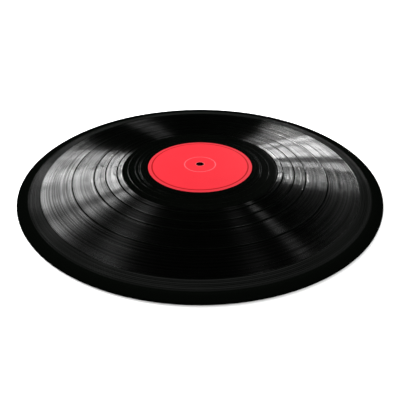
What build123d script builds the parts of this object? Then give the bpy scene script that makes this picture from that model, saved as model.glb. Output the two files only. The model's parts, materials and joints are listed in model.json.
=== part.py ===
from build123d import *
import os

# A twelve-inch long-playing record: one pressed vinyl disc with a paper label moulded into each side.
# Millimetres. The origin is on the hole's axis, in the plane that the record rests on, and +Z points up
# out of side A. Every piece is turned about Z, so each is one outline revolved once.

# Driving dimensions
DISC_DIAMETER = 301.6
HOLE_DIAMETER = 7.24
LABEL_DIAMETER = 94.0
THICKNESS = 1.9  # over the two labels, and over the rim bead
GROOVE_THICKNESS = 1.3  # of the thinner band that carries the grooves
LABEL_THICKNESS = 0.12

FIRST_GROOVE_RADIUS = 143.0  # the grooved band starts inside the rim bead
LAND_RADIUS = 52.2  # the raised label land starts inside the locked groove
BEAD_RAMP = 2.6  # width of the slope from the grooved band up to the bead
LAND_RAMP = 1.8  # width of the slope from the grooved band up to the label land
EDGE_ROUND = 0.7  # radius of the rounded outer edge
PRESS_RING_RADIUS = 14.1  # middle of the ring that the press die leaves in each label
PRESS_RING_WIDTH = 1.2
PRESS_RING_DEPTH = 0.15

# Worked out from the driving dimensions
RIM_RADIUS = DISC_DIAMETER / 2
HOLE_RADIUS = HOLE_DIAMETER / 2
LABEL_RADIUS = LABEL_DIAMETER / 2
MIDDLE = THICKNESS / 2
LAND = MIDDLE  # height of the label land and of the bead above the middle plane
FLOOR = GROOVE_THICKNESS / 2  # height of the grooved band above the middle plane
SEAT = LAND - LABEL_THICKNESS  # height of the seat under a label above the middle plane


def ring_dip(height):
    """The points of the press ring's V, from the hole outwards, in a face at this height."""
    half_width = PRESS_RING_WIDTH / 2
    return [
        (PRESS_RING_RADIUS - half_width, height),
        (PRESS_RING_RADIUS, height - PRESS_RING_DEPTH),
        (PRESS_RING_RADIUS + half_width, height),
    ]


def upper_outline():
    """Side A of the disc's section, from the hole to the edge, measured from the middle plane."""
    return [
        (HOLE_RADIUS, SEAT),
        *ring_dip(SEAT),
        (LABEL_RADIUS, SEAT),
        (LABEL_RADIUS, LAND),
        (LAND_RADIUS - LAND_RAMP, LAND),
        (LAND_RADIUS, FLOOR),
        (FIRST_GROOVE_RADIUS, FLOOR),
        (FIRST_GROOVE_RADIUS + BEAD_RAMP, LAND),
        (RIM_RADIUS, LAND),
    ]


def flipped(points):
    """The same outline on side B, run back from its far end."""
    return [(radius, -height) for radius, height in reversed(points)]


def turned(section):
    """The solid that a section in the XZ plane sweeps about Z, lifted to stand on the resting plane."""
    solid = revolve(section, axis=Axis.Z)
    return Pos(0, 0, MIDDLE) * solid


def vinyl_disc():
    """The pressed disc: raised land with a seat for each label, thinner grooved band, raised rim bead."""
    outline = upper_outline()
    section = make_face(Plane.XZ * Polyline(*outline, *flipped(outline), close=True))
    edge_corners = [v for v in section.vertices() if v.X > RIM_RADIUS - 0.01]
    return turned(fillet(edge_corners, EDGE_ROUND))


def paper_label(side):
    """A label pressed flush into its seat, with the die's ring in it. side is 1 for side A, -1 for side B."""
    face = [(HOLE_RADIUS, LAND), *ring_dip(LAND), (LABEL_RADIUS, LAND)]
    back = [(LABEL_RADIUS, SEAT), *reversed(ring_dip(SEAT)), (HOLE_RADIUS, SEAT)]
    outline = [(radius, side * height) for radius, height in face + back]
    return turned(make_face(Plane.XZ * Polyline(*outline, close=True)))


pieces = {
    "vinyl_disc": vinyl_disc(),
    "label_side_a": paper_label(1),
    "label_side_b": paper_label(-1),
}

os.makedirs("parts", exist_ok=True)
for name, solid in pieces.items():
    solid.label = name
    export_step(solid, f"parts/{name}.step")
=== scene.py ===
import json
import math

import bpy
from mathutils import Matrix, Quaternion, Vector


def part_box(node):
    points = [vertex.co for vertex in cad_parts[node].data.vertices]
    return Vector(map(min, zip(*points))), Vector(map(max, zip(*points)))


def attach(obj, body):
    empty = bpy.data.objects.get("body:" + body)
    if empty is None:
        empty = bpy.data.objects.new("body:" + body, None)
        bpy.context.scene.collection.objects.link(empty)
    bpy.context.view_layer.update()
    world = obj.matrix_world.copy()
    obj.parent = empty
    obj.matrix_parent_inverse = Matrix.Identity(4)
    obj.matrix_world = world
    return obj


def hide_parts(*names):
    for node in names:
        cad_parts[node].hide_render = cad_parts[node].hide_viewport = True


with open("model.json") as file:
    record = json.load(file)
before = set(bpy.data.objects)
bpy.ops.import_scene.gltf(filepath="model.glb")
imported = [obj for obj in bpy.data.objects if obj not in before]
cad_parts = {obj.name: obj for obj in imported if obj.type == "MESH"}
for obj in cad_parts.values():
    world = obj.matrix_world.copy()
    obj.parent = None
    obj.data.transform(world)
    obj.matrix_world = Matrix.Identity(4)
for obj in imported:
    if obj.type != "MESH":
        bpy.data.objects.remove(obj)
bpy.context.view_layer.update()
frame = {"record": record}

# A twelve-inch long-playing record. The disc is rolled out of a flat grid, one row of the grid for each
# circle or groove edge, so that its grooves are one real spiral on each side, as a lathe cuts them.
# Metres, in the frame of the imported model: +Z out of side A, origin in the plane the record rests on.

MM = 0.001
WELD = 1e-7  # corners closer than this are one corner
SEGMENTS = 144  # faces round every circle
TURN = 2 * math.pi
CREASE = math.radians(14)  # edges that bend more than this stay sharp

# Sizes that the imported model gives
MOUNTS = {mount["name"]: mount for mount in frame["record"]["mounts"]}
DISC_LOW, DISC_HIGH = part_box("vinyl_disc")
LABEL_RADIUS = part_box("label_side_a")[1].x
RIM_RADIUS = DISC_HIGH.x
HOLE_RADIUS = MOUNTS["spindle_hole"]["dims"]["r_mm"] * MM
MIDDLE = (DISC_LOW.z + DISC_HIGH.z) / 2

# Heights above the middle plane
LAND = MIDDLE  # the label land, the label's face and the rim bead
FLOOR = 0.65 * MM  # the band that carries the grooves
SEAT = LAND - 0.12 * MM  # the seat under the paper

# Radii and widths of the moulding
GROOVED_RADIUS = 143.0 * MM  # where the bead's slope meets the grooved band
BEAD_RAMP = 2.6 * MM
EDGE_ROUND = 0.7 * MM
LAND_RADIUS = 52.2 * MM  # foot of the slope round the label land
LAND_RAMP = 1.8 * MM
LOCKED_RADIUS = 54.0 * MM  # the closed groove that the spiral runs into
PRESS_RING_RADIUS = 14.1 * MM
PRESS_RING_WIDTH = 1.2 * MM
PRESS_RING_DEPTH = 0.15 * MM

# The spiral, from the rim inwards: the radius that each stretch ends at, and how far apart its turns lie
SPIRAL_START = 142.9 * MM
SPIRAL_END = 55.6 * MM
MUSIC_PITCH = 0.75 * MM
GAP_WIDTH = 1.2 * MM
TRACK_ENDS = [111.2 * MM, 93.8 * MM, 84.4 * MM, 74.7 * MM, 70.1 * MM]
LEAD_IN_END = 134.7 * MM
LEAD_IN_PITCH = 1.17 * MM
LEAD_OUT_PITCH = 6.35 * MM

# How wide and how deep each stretch is cut
GROOVES = {
    "lead_in": (0.4 * MM, 0.32 * MM),
    "music": (0.7 * MM, 0.39 * MM),
    "gap": (0.3 * MM, 0.06 * MM),
    "lead_out": (0.3 * MM, 0.09 * MM),
}
LOUD_TRACK = 1.18  # the outermost track is cut this much deeper

# Colours of the vinyl and the paper
BLACK = (0.0006, 0.0008, 0.0006, 1)
# painted sheen: a faint grey in the lead-in's colour that stands in for its grey sheen
LEAD_IN_PAINTED_SHEEN = (0.0055, 0.0058, 0.0055, 1)
RED = (0.335, 0.0115, 0.0175, 1)
RED_PATCH = (0.355, 0.0135, 0.020, 1)
RED_FIBRE = (0.29, 0.010, 0.015, 1)
RED_MARGIN = (0.25, 0.017, 0.023, 1)
RED_PRINT = (0.15, 0.002, 0.003, 1)
# painted highlight: a paler red painted along the pressed ring
RED_PAINTED_HIGHLIGHT = (0.55, 0.12, 0.14, 1)
RED_CUT = (0.5, 0.12, 0.12, 1)
PALE = (0.9, 0.9, 0.9, 1)
# painted shadow: the floor's dark spot under the record, seen through the spindle hole
HOLE_PAINTED_SHADOW = (0.002, 0.002, 0.002, 1)

# Bands of the materials: inner radius, outer radius and how soft their edges are, all in millimetres
MARGIN_BAND = (44.2, 48.0, 0.15)
PRINT_BAND = (42.9, 44.1, 0.12)
PRESS_BAND = (13.6, 14.6, 0.25)
CUT_BAND = (0.0, 3.95, 0.15)
LEAD_IN_BAND = (LEAD_IN_END / MM, SPIRAL_START / MM, 0.2)
LEAD_OUT_BAND = (LAND_RADIUS / MM, 70.0, 0.2)
# where the floor's painted shadow lies, under the spindle hole
SHADOW_SPOT_BAND = (-1.0, 9.0, 0.5)
TRACK_EDGE = 0.12  # how soft the edges of the tracks are
OUTER_TRACK_RAMP = (110.0, 112.0)  # where the outermost track's stronger streaks set in
DULL_RAMP = (69.6, 70.4)  # where the vinyl goes from gloss to dull, at the end of the music
LEVEL = 0.996  # height of the normal of a face that leans 5 degrees
LEANING = 0.990  # and of one that leans 8 degrees

# The camera
CAMERA_ELEVATION = math.radians(34.756)
CAMERA_DISTANCE = 235.62 * MM
CAMERA_TARGET = (0.0, -57.63 * MM, DISC_HIGH.z)
CAMERA_LENS = 27.916

# The studio
FLOOR_SIZE = 20.0
FLOOR_DROP = 0.2 * MM  # how far the floor lies under the record, so that the two never touch
AMBIENT = 1.2  # strength of the white surroundings for matt surfaces
# Each softbox: azimuth from +X, elevation, distance, width, height, watts and, for one, its tilt
LIGHTS = {
    "low_left": (138, 10, 1.0, 0.18, 0.16, 11.5),
    "middle_left": (145, 22, 1.0, 0.20, 0.12, 10.0),
    "inner_left": (131, 22, 1.0, 0.16, 0.12, 4.2),
    "upper_left": (153, 35, 1.0, 0.10, 0.28, 5.6, 45),
    "high_left": (143, 56, 1.0, 0.14, 0.14, 2.4),
    "far_left": (120, 10, 3.0, 0.40, 0.40, 36.0),
    "edge_right": (38, 10, 1.0, 0.14, 0.14, 1.8),
    "outer_right": (46, 9, 1.0, 0.24, 0.12, 12.5),
    "inner_right": (66, 4.5, 1.0, 0.20, 0.10, 11.5),
    "far_right": (72, 9, 3.0, 0.40, 0.40, 24.0),
    "back_right": (60, 15, 0.7, 0.14, 0.10, 1.7),
    "high_right": (24, 69, 1.0, 0.10, 0.10, 0.5),
    "front_right": (-20, 33, 1.0, 0.12, 0.12, 0.3),
}


# ---------------------------------------------------------------- the spiral

def spiral_stretches():
    """(kind, outer radius, inner radius, turns) for each stretch of the groove, from the rim inwards."""
    stretches = [("lead_in", SPIRAL_START, LEAD_IN_END, LEAD_IN_PITCH)]
    outer = LEAD_IN_END
    for inner in TRACK_ENDS:
        stretches.append(("music", outer, inner, MUSIC_PITCH))
        outer = inner
        if inner != TRACK_ENDS[-1]:
            outer = inner - GAP_WIDTH
            stretches.append(("gap", inner, outer, GAP_WIDTH))
    stretches.append(("lead_out", outer, SPIRAL_END, LEAD_OUT_PITCH))
    turns = [(high - low) / pitch for _, high, low, pitch in stretches]
    to_whole = round(sum(turns)) / sum(turns)
    return [
        (kind, high, low, count * to_whole)
        for (kind, high, low, _), count in zip(stretches, turns)
    ]


STRETCHES = spiral_stretches()
WHOLE_TURNS = round(sum(turns for _, _, _, turns in STRETCHES))


def groove_at(turn):
    """(kind, radius of the groove's outer edge) after so many turns from the start."""
    kind = "lead_in"
    begun = 0.0
    for kind, high, low, turns in STRETCHES:
        if turn <= begun + turns:
            return kind, high + (low - high) * max(turn - begun, 0.0) / turns
        begun += turns
    return kind, SPIRAL_END


def loudness(turn):
    """How deep the music is cut here, about 1, so that loud and quiet passages show as rings."""
    slow = math.sin(0.61 * turn) * math.sin(0.227 * turn + 1.0)
    fast = math.sin(2.3 * turn + 0.5) * math.sin(1.31 * turn)
    return 1.0 + 0.18 * slow + 0.16 * fast


def groove_corners(turn):
    """The groove's outer edge, bottom and inner edge, as (radius, height), after so many turns.

    The groove opens from nothing over the turn before its start, and closes over the turn after its end.
    """
    kind, edge = groove_at(turn)
    full_width, depth = GROOVES[kind]
    if kind == "music":
        depth *= loudness(turn) * (LOUD_TRACK if edge > TRACK_ENDS[0] else 1.0)
    opening = min(1.0, turn + 1.0, WHOLE_TURNS + 1.0 - turn)
    width = full_width * opening
    if turn > WHOLE_TURNS:
        edge = SPIRAL_END - full_width + width
    return [
        (edge, FLOOR),
        (edge - width / 2, FLOOR - depth * opening),
        (edge - width, FLOOR),
    ]


# ---------------------------------------------------------------- the disc's section

def slope(foot_radius, foot_height, top_radius, top_height, steps=6):
    """Circles up or down a slope that is rounded at its foot and its top, as (radius, height)."""
    circles = []
    for step in range(steps + 1):
        along = step / steps
        rise = (1 - math.cos(math.pi * along)) / 2
        radius = foot_radius + (top_radius - foot_radius) * along
        circles.append((radius, foot_height + (top_height - foot_height) * rise))
    return circles


def rim_circles():
    """From the middle of the edge over the rounded rim and the bead, down to the grooved band."""
    centre_radius = RIM_RADIUS - EDGE_ROUND
    centre_height = LAND - EDGE_ROUND
    circles = [(RIM_RADIUS, 0.0)]
    for step in range(7):
        angle = math.pi / 2 * step / 6
        circles.append((
            centre_radius + EDGE_ROUND * math.cos(angle),
            centre_height + EDGE_ROUND * math.sin(angle),
        ))
    return circles + slope(GROOVED_RADIUS + BEAD_RAMP, LAND, GROOVED_RADIUS, FLOOR)


def press_ring(height):
    """The die's ring pressed into a face at this height, from outside inwards."""
    half = PRESS_RING_WIDTH / 2
    return [
        (PRESS_RING_RADIUS + half, height),
        (PRESS_RING_RADIUS + half / 2, height - PRESS_RING_DEPTH / 2),
        (PRESS_RING_RADIUS, height - PRESS_RING_DEPTH),
        (PRESS_RING_RADIUS - half / 2, height - PRESS_RING_DEPTH / 2),
        (PRESS_RING_RADIUS - half, height),
    ]


def centre_circles():
    """From the closed groove over the label land, down into the label's seat, to the hole's middle."""
    width, depth = GROOVES["lead_out"]
    locked = [
        (LOCKED_RADIUS + width / 2, FLOOR),
        (LOCKED_RADIUS, FLOOR - depth),
        (LOCKED_RADIUS - width / 2, FLOOR),
    ]
    up_to_land = slope(LAND_RADIUS, FLOOR, LAND_RADIUS - LAND_RAMP, LAND)
    into_seat = [(LABEL_RADIUS, LAND), (LABEL_RADIUS, SEAT)]
    return locked + up_to_land + into_seat + press_ring(SEAT) + [(HOLE_RADIUS, SEAT), (HOLE_RADIUS, 0.0)]


def disc_rows():
    """Every row of the grid, from the rim to the hole, as a function of the way round, from 0 to 1."""
    rows = [lambda way, circle=circle: circle for circle in rim_circles()]
    for turn in range(-1, WHOLE_TURNS + 1):
        for corner in range(3):
            rows.append(lambda way, turn=turn, corner=corner: groove_corners(turn + way)[corner])
    rows += [lambda way, circle=circle: circle for circle in centre_circles()]
    return rows


# ---------------------------------------------------------------- modelling

def nothing_selected():
    bpy.ops.object.select_all(action="DESELECT")


def everything_selected_in_edit_mode():
    bpy.ops.object.mode_set(mode="EDIT")
    bpy.ops.mesh.select_all(action="SELECT")


def rolled_grid(name, rows):
    """A flat grid rolled round the Z axis: one row for each circle or groove edge, welded where it meets."""
    nothing_selected()
    bpy.ops.mesh.primitive_grid_add(x_subdivisions=len(rows) - 1, y_subdivisions=SEGMENTS, size=1)
    piece = bpy.context.object
    piece.name = name
    piece.data.name = name
    for vertex in piece.data.vertices:
        row = round((vertex.co.x + 0.5) * (len(rows) - 1))
        way = round((vertex.co.y + 0.5) * SEGMENTS) / SEGMENTS
        radius, height = rows[row](way)
        vertex.co = (radius * math.cos(TURN * way), radius * math.sin(TURN * way), height)
    everything_selected_in_edit_mode()
    bpy.ops.mesh.remove_doubles(threshold=WELD)
    bpy.ops.object.mode_set(mode="OBJECT")
    return piece


def closed_and_smoothed():
    """Welds the piece being edited, turns its faces outwards and smooths all but its creases."""
    everything_selected_in_edit_mode()
    bpy.ops.mesh.remove_doubles(threshold=WELD)
    bpy.ops.mesh.normals_make_consistent(inside=False)
    bpy.ops.object.mode_set(mode="OBJECT")
    bpy.ops.object.shade_smooth_by_angle(angle=CREASE)


def lifted(height):
    """Moves all of the piece being edited up by this height."""
    everything_selected_in_edit_mode()
    bpy.ops.transform.translate(value=(0, 0, height))
    bpy.ops.object.mode_set(mode="OBJECT")


def make_disc():
    """The pressed disc. Side B is side A turned over, not mirrored, so both spirals run the same way."""
    disc = rolled_grid("grooved_disc", disc_rows())
    everything_selected_in_edit_mode()
    bpy.ops.mesh.duplicate()
    bpy.ops.transform.resize(value=(1, -1, -1), center_override=(0, 0, 0))
    bpy.ops.object.mode_set(mode="OBJECT")
    closed_and_smoothed()
    lifted(MIDDLE)
    return disc


def label_rows():
    """The paper's section, right round: its face from the edge to the hole, and its back to the edge."""
    soft = 0.03 * MM  # the rounding of the paper's cut edges
    face = [(LABEL_RADIUS, LAND - soft), (LABEL_RADIUS - soft, LAND)]
    face += press_ring(LAND)
    face += [(HOLE_RADIUS + soft, LAND), (HOLE_RADIUS, LAND - soft)]
    back = [(HOLE_RADIUS, SEAT)] + press_ring(SEAT)[::-1] + [(LABEL_RADIUS, SEAT)]
    section = face + back + face[:1]
    return [lambda way, circle=circle: circle for circle in section]


def make_label(side):
    """A paper label in its seat. side is 1 for side A, and -1 for side B, which is turned over."""
    label = rolled_grid("paper_label_a" if side > 0 else "paper_label_b", label_rows())
    everything_selected_in_edit_mode()
    bpy.ops.transform.resize(value=(1, side, side), center_override=(0, 0, 0))
    bpy.ops.object.mode_set(mode="OBJECT")
    closed_and_smoothed()
    lifted(MIDDLE)
    return label


# ---------------------------------------------------------------- materials

class Wire:
    """A node socket that plain arithmetic works on: each operation adds the Math node that does it."""

    def __init__(self, shader, socket):
        self.shader = shader
        self.socket = socket

    def math(self, operation, *others):
        return self.shader.node("ShaderNodeMath", {"operation": operation}, self, *others)

    def __add__(self, other):
        return self.math("ADD", other)

    def __radd__(self, other):
        return self.math("ADD", other)

    def __rsub__(self, other):
        return self.shader.node("ShaderNodeMath", {"operation": "SUBTRACT"}, other, self)

    def __mul__(self, other):
        return self.math("MULTIPLY", other)

    def __rmul__(self, other):
        return self.math("MULTIPLY", other)


class Shader:
    """A material's node tree, with one method that adds any node."""

    def __init__(self, name):
        self.material = bpy.data.materials.new(name)
        self.material.use_nodes = True
        self.tree = self.material.node_tree
        self.tree.nodes.clear()

    def node(self, kind, settings, *values, out=0, **named):
        """Adds a node of this type, applies its settings and feeds its sockets in order or by name."""
        made = self.tree.nodes.new(kind)
        for setting, value in settings.items():
            setattr(made, setting, value)
        for key, value in [*enumerate(values), *named.items()]:
            socket = made.inputs[key if isinstance(key, int) else key.replace("_", " ")]
            if isinstance(value, Wire):
                self.tree.links.new(value.socket, socket)
            else:
                socket.default_value = value
        return Wire(self, made.outputs[out])

    def ramp(self, value, low, high, start=0.0, end=1.0):
        """From start to end as the value goes from low to high."""
        return self.node("ShaderNodeMapRange", {"clamp": True}, value, low, high, start, end)

    def band(self, value, low, high, soft):
        """1 where the value lies between low and high, 0 outside, with edges this soft."""
        risen = self.ramp(value, low - soft, low + soft)
        fallen = self.ramp(value, high - soft, high + soft, 1.0, 0.0)
        return risen * fallen

    def blend(self, factor, first, second):
        """A colour that goes from the first to the second with the factor."""
        made = self.tree.nodes.new("ShaderNodeMix")
        made.data_type = "RGBA"
        for socket, value in ((made.inputs[0], factor), (made.inputs[6], first), (made.inputs[7], second)):
            if isinstance(value, Wire):
                self.tree.links.new(value.socket, socket)
            else:
                socket.default_value = value
        return Wire(self, made.outputs[2])

    def finish(self, surface):
        output = self.tree.nodes.new("ShaderNodeOutputMaterial")
        self.tree.links.new(surface.socket, output.inputs["Surface"])
        return self.material


def round_the_disc(shader):
    """How far a point is from the spindle's axis, in millimetres, and the direction it lies in."""
    place = shader.node("ShaderNodeTexCoord", {}, out=3)
    flat = shader.node("ShaderNodeVectorMath", {"operation": "MULTIPLY"}, place, (1000.0, 1000.0, 0.0))
    radius = shader.node("ShaderNodeVectorMath", {"operation": "LENGTH"}, flat, out=1)
    return radius, shader.node("ShaderNodeVectorMath", {"operation": "NORMALIZE"}, flat)


def rings(shader, radius, direction, per_mm, round_the_way, detail):
    """Noise drawn out along the grooves: fine across them, long and uneven round the disc."""
    across = shader.node("ShaderNodeCombineXYZ", {}, 0.0, 0.0, radius * per_mm)
    around = shader.node(
        "ShaderNodeVectorMath", {"operation": "MULTIPLY"}, direction, (round_the_way, round_the_way, 0.0),
    )
    place = shader.node("ShaderNodeVectorMath", {"operation": "ADD"}, around, across)
    return shader.node("ShaderNodeTexNoise", {}, place, Scale=1.0, Detail=detail, Roughness=0.6)


def cut_mask(shader, radius):
    """1 over the music, 0 over the lead-in, the gaps and the smooth vinyl."""
    cut = 0.0
    outer = LEAD_IN_END - MUSIC_PITCH / 2
    for inner in TRACK_ENDS:
        cut = cut + shader.band(radius, inner / MM - 0.1, outer / MM, TRACK_EDGE)
        outer = inner - GAP_WIDTH
    return cut


def groove_walls(shader):
    """1 on the faces that lean: the walls of grooves, the slopes and the edge. 0 on level ones."""
    normal = shader.node("ShaderNodeTexCoord", {}, out=1)
    up = (0.0, 0.0, 1.0)
    upright = shader.node("ShaderNodeVectorMath", {"operation": "DOT_PRODUCT"}, normal, up, out=1)
    return shader.ramp(upright.math("ABSOLUTE"), LEANING, LEVEL, 1.0, 0.0)


def black_vinyl():
    """Moulded vinyl: gloss where it is smooth, a sheen drawn round the disc where it is cut, a dull edge,
    and a painted sheen of faint grey in the lead-in's colour.
    """
    shader = Shader("black_vinyl")
    radius, direction = round_the_disc(shader)
    fine = rings(shader, radius, direction, per_mm=1.9, round_the_way=2.0, detail=3.0)
    broad = rings(shader, radius, direction, per_mm=0.95, round_the_way=0.25, detail=2.0)
    loud = shader.ramp(0.25 * fine + 0.75 * broad, 0.41, 0.58, 0.35, 1.0)
    outer_track = shader.ramp(radius, *OUTER_TRACK_RAMP)
    loud = loud + 0.25 * (1.0 - outer_track) * (1.0 - loud)
    lead_in = shader.band(radius, *LEAD_IN_BAND)
    lead_out = shader.band(radius, *LEAD_OUT_BAND)
    walls = groove_walls(shader)
    grooved = shader.node(
        "ShaderNodeBsdfPrincipled", {}, Base_Color=BLACK, Roughness=0.28, Specular_IOR_Level=0.62,
        Anisotropic=1.0, Anisotropic_Rotation=0.25,
        Tangent=shader.node("ShaderNodeTangent", {"direction_type": "RADIAL", "axis": "Z"}),
    )
    glossy = shader.node(
        "ShaderNodeBsdfPrincipled", {}, Base_Color=BLACK, Roughness=0.05 + 0.06 * fine,
    )
    # The lead-in's base colour carries a painted sheen: faint grey, streaked by loud.
    matt = shader.node(
        "ShaderNodeBsdfPrincipled", {}, Base_Color=shader.blend(lead_in * loud, BLACK, LEAD_IN_PAINTED_SHEEN),
        Roughness=0.3, Specular_IOR_Level=0.0,
    )
    dull = walls.math("MAXIMUM", shader.ramp(radius, *DULL_RAMP))
    uncut = shader.node("ShaderNodeMixShader", {}, dull, glossy, matt)
    cut = cut_mask(shader, radius) * (0.8 + 0.2 * outer_track)
    sheen = (cut + 0.025 * lead_in + 0.12 * lead_out * walls) * loud
    return shader.finish(shader.node("ShaderNodeMixShader", {}, sheen, uncut, grooved))


def red_paper():
    """Uncoated red paper with a printed ring, a paler band painted on the pressed ring as a painted
    highlight, and worn pale where it is cut.
    """
    shader = Shader("red_paper")
    radius, _ = round_the_disc(shader)
    place = shader.node("ShaderNodeTexCoord", {}, out=3)
    fibre = shader.node("ShaderNodeTexNoise", {}, place, Scale=1400.0, Detail=4.0, Roughness=0.65)
    patch = shader.node("ShaderNodeTexNoise", {}, place, Scale=60.0, Detail=2.0, Roughness=0.5)
    colour = shader.blend(patch, RED, RED_PATCH)
    colour = shader.blend(0.25 * fibre, colour, RED_FIBRE)
    colour = shader.blend(0.5 * shader.band(radius, *MARGIN_BAND), colour, RED_MARGIN)
    colour = shader.blend(shader.band(radius, *PRINT_BAND), colour, RED_PRINT)
    # A painted highlight: the pressed ring is painted paler all round.
    colour = shader.blend(0.35 * shader.band(radius, *PRESS_BAND), colour, RED_PAINTED_HIGHLIGHT)
    colour = shader.blend(0.6 * shader.band(radius, *CUT_BAND), colour, RED_CUT)
    bump = shader.node("ShaderNodeBump", {}, Height=fibre, Strength=0.12, Distance=0.00002)
    return shader.finish(shader.node(
        "ShaderNodeBsdfPrincipled", {}, Base_Color=colour, Roughness=0.55 + 0.15 * fibre, Normal=bump,
        Specular_IOR_Level=0.005,
    ))


def pale_floor():
    """Pale board, with a small dark spot of painted shadow under the record, which shows only through the
    spindle hole.
    """
    shader = Shader("pale_floor")
    radius, _ = round_the_disc(shader)
    return shader.finish(shader.node(
        # The dark spot is painted shadow, standing in for the shade under the record.
        "ShaderNodeBsdfPrincipled", {}, Base_Color=shader.blend(shader.band(radius, *SHADOW_SPOT_BAND), PALE, HOLE_PAINTED_SHADOW),
        Roughness=0.9, Specular_IOR_Level=0.0,
    ))


def dressed(piece, material, slot, *nodes):
    """Gives a finished piece its material, hangs it from the root body and hides the CAD nodes it stands
    for; slot is not used.
    """
    piece.data.materials.clear()
    piece.data.materials.append(material)
    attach(piece, "root")
    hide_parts(*nodes)


# ---------------------------------------------------------------- the studio

def make_camera():
    """Above the front of the record, looking down across it with a short lens."""
    back = Vector((0.0, -math.cos(CAMERA_ELEVATION), math.sin(CAMERA_ELEVATION)))
    data = bpy.data.cameras.new("camera")
    data.sensor_width = 36.0
    data.lens = CAMERA_LENS
    data.clip_start = 0.01
    camera = bpy.data.objects.new("camera", data)
    bpy.context.scene.collection.objects.link(camera)
    camera.location = Vector(CAMERA_TARGET) + back * CAMERA_DISTANCE
    camera.rotation_euler = (math.pi / 2 - CAMERA_ELEVATION, 0.0, 0.0)
    bpy.context.scene.camera = camera


def make_floor():
    nothing_selected()
    bpy.ops.mesh.primitive_plane_add(size=FLOOR_SIZE, location=(0, 0, -FLOOR_DROP))
    floor = bpy.context.object
    floor.name = "floor"
    floor.data.materials.append(pale_floor())


def softbox(name, azimuth, elevation, distance, width, height, watts, tilt=0.0):
    """A soft light that faces the record. Angles in degrees, azimuth from +X."""
    around = math.radians(azimuth)
    up = math.radians(elevation)
    place = Vector((math.cos(up) * math.cos(around), math.cos(up) * math.sin(around), math.sin(up)))
    data = bpy.data.lights.new(name, "AREA")
    data.shape = "RECTANGLE"
    data.size = width
    data.size_y = height
    data.energy = watts
    light = bpy.data.objects.new(name, data)
    bpy.context.scene.collection.objects.link(light)
    light.location = distance * place
    facing = (-place).to_track_quat("-Z", "Y")
    light.rotation_euler = (facing @ Quaternion((0, 0, 1), math.radians(tilt))).to_euler()
    light.visible_camera = False


def make_world():
    """White for the eye and for matt surfaces, and black for gloss, as black cloth round a set."""
    world = bpy.data.worlds.new("studio")
    bpy.context.scene.world = world
    world.use_nodes = True
    tree = world.node_tree
    rays = tree.nodes.new("ShaderNodeLightPath")
    strength = tree.nodes.new("ShaderNodeMath")
    strength.operation = "MULTIPLY_ADD"
    strength.inputs[1].default_value = AMBIENT
    tree.links.new(rays.outputs["Is Diffuse Ray"], strength.inputs[0])
    tree.links.new(rays.outputs["Is Camera Ray"], strength.inputs[2])
    background = tree.nodes["Background"]
    background.inputs["Color"].default_value = (1, 1, 1, 1)
    tree.links.new(strength.outputs[0], background.inputs["Strength"])


make_camera()
make_floor()
make_world()
for name, light in LIGHTS.items():
    softbox(name, *light)

vinyl = black_vinyl()
paper = red_paper()
dressed(make_disc(), vinyl, "black_vinyl", "vinyl_disc")
dressed(make_label(1), paper, "red_label", "label_side_a")
dressed(make_label(-1), paper, "red_label", "label_side_b")

bpy.context.scene.view_settings.view_transform = "Standard"
